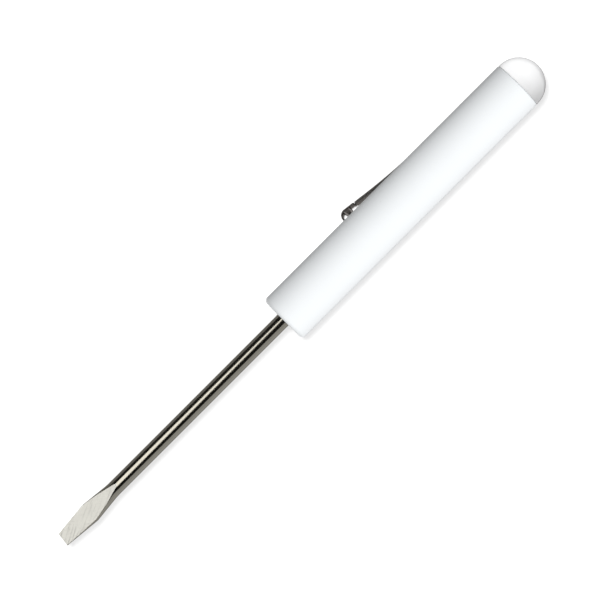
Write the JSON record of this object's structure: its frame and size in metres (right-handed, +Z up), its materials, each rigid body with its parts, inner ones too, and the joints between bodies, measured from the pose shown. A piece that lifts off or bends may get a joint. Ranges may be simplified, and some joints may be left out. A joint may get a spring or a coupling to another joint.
{
  "type": "pocket screwdriver",
  "caption": "Pocket screwdriver with a white barrel handle, domed button cap, spring pocket clip and a fixed slotted blade.",
  "frame": {"origin": "middle of the footprint, on the bench that the tool lies on", "axes": "+X along the tool from the blade's tip to the button cap, +Z up from the bench, pocket clip on the +Y side"},
  "size_m": [0.1368, 0.0126, 0.0111],
  "materials": {
    "handle_plastic": "satin-gloss white moulding",
    "cap_plastic": "satin-gloss white moulding",
    "blade_steel": "bright nickel plate, with bare ground steel on the tip's faces",
    "clip_steel": "dark nickel on rolled spring steel"
  },
  "bodies": {
    "tool": {"handle": "handle_plastic", "blade": "blade_steel", "button_cap": "cap_plastic"},
    "clip": {"pocket_clip": "clip_steel"}
  },
  "joints": [
    {"name": "clip_flex", "type": "hinge", "parent": "tool", "child": "clip", "pos_m": [0.06235, 0.00406, 0.00234], "axis": [0, -0.5552, -0.8317], "range_deg": [0, 4.5], "stiffness_Nm_per_rad": 0.13, "springref_deg": -2.86}
  ]
}
